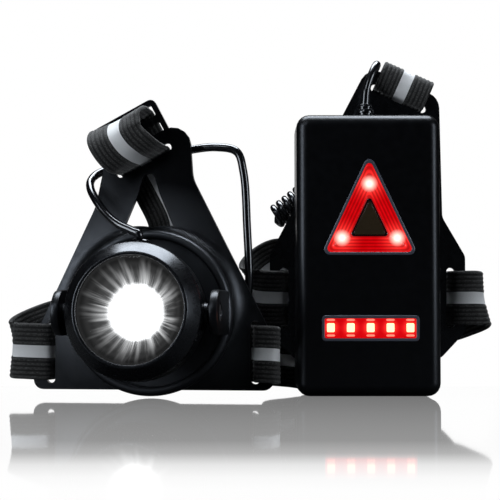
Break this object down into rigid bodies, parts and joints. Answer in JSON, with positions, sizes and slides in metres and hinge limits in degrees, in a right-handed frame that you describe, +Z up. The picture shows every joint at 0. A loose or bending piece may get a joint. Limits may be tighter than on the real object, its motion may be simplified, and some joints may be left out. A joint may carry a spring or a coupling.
{
  "type": "chest-worn running light",
  "caption": "Chest-worn running light: tilting front lamp and red rear warning light on strap plates, joined by a coiled cable and elastic straps.",
  "frame": {"origin": "middle of the battery case's underside", "axes": "+X from the front lamp towards the battery case, +Y backwards away from the lights, +Z up"},
  "size_m": [0.1767, 0.0936, 0.1239],
  "materials": {
    "black_matte": "fine moulded grain, soft sheen",
    "black_satin": "satin moulded plastic",
    "black_gloss": "polished moulded plastic",
    "rubber": "matt soft rubber",
    "cable_jacket": "glossy cable jacket",
    "webbing": "ribbed elastic webbing with a woven reflective stripe",
    "clear_lens": "clear polished lens",
    "reflector": "bright vapour-coated cup",
    "red_lens": "clear red moulding with fine ribs behind it",
    "smoked_window": "dark tinted plastic",
    "red_led": "lit red lamp chip",
    "white_led": "lit white lamp chip",
    "circuit_board": "green solder mask",
    "steel": "bright zinc",
    "aluminium": "turned",
    "cell_wrap": "shrink film"
  },
  "bodies": {
    "base": {"front_strap_plate": "black_satin", "lamp_cradle": "black_matte", "cradle_screw_1": "steel", "cradle_screw_2": "steel", "cradle_screw_3": "steel", "pivot_screw_left": "steel", "pivot_screw_right": "steel", "friction_washer_left": "rubber", "friction_washer_right": "rubber", "case_front_cover": "black_matte", "case_rear_cover": "black_matte", "case_gasket": "rubber", "case_screw_1": "steel", "case_screw_2": "steel", "case_screw_3": "steel", "case_screw_4": "steel", "warning_triangle_lens": "red_lens", "triangle_centre_window": "smoked_window", "light_bar_lens": "red_lens", "triangle_led_1": "red_led", "triangle_led_2": "red_led", "triangle_led_3": "red_led", "bar_led_1": "red_led", "bar_led_2": "red_led", "bar_led_3": "red_led", "bar_led_4": "red_led", "bar_led_5": "red_led", "light_board": "circuit_board", "battery_cell": "cell_wrap", "cell_tab_top": "steel", "cell_tab_bottom": "steel", "charge_board": "circuit_board", "button_switch": "black_gloss", "charge_socket": "steel", "rear_strap_plate": "black_satin", "plate_screw_1": "steel", "plate_screw_2": "steel", "plate_screw_3": "steel", "cable_strain_relief": "rubber", "coiled_cable": "cable_jacket", "side_strap_left": "webbing", "side_strap_right": "webbing", "shoulder_strap": "webbing", "shoulder_strap_glide": "black_gloss"},
    "lamp_head": {"head_shell": "black_matte", "head_bezel": "black_matte", "front_lens": "clear_lens", "lens_seal": "rubber", "reflector": "reflector", "led_emitter": "white_led", "led_board": "circuit_board", "heat_sink": "aluminium", "cable_grommet": "black_gloss"},
    "button": {"power_button": "rubber"},
    "port_flap": {"charge_port_flap": "rubber"},
    "strap_glide": {"side_strap_glide_left": "black_gloss"}
  },
  "joints": [
    {"name": "head_tilt", "type": "hinge", "parent": "base", "child": "lamp_head", "pos_m": [-0.07988, -0.03186, 0.0295], "axis": [0.9925, -0.1219, 0], "range_deg": [-5, 80]},
    {"name": "button_press", "type": "slide", "parent": "base", "child": "button", "axis": [-1, 0, 0], "range_m": [0, 0.0008]},
    {"name": "flap_open", "type": "hinge", "parent": "base", "child": "port_flap", "pos_m": [0.026, -0.0026, 0.0224], "axis": [0, 1, 0], "range_deg": [0, 120]},
    {"name": "glide_slide", "type": "slide", "parent": "base", "child": "strap_glide", "axis": [1, 0, 0], "range_m": [-0.008, 0.008]}
  ]
}
